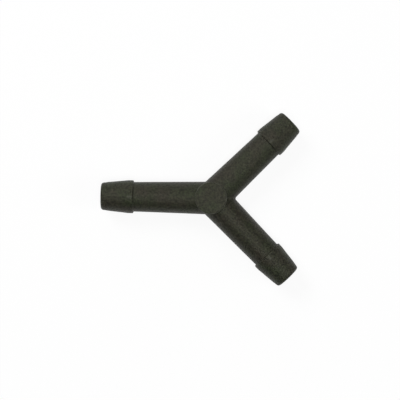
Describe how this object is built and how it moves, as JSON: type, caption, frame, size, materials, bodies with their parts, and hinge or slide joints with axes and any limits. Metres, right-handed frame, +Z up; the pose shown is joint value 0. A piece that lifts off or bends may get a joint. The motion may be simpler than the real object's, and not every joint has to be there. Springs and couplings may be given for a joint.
{
  "type": "tubing y connector",
  "caption": "Moulded plastic Y connector with barbed tube ends and a flat round pad at the hub, for joining ends of the same soft hose.",
  "frame": {"origin": "where the axes of the bores cross, in the middle of the hub", "axes": "+Z up, square to the plane of the arms; -X out along the stem; the branches lie to each side of +X, the left one towards +Y and the right one towards -Y"},
  "size_m": [0.054, 0.0472, 0.0094],
  "materials": {
    "moulded_plastic": "fine moulded grain, matte, near black with an olive cast"
  },
  "bodies": {
    "root": {"y_connector": "moulded_plastic"}
  },
  "joints": []
}
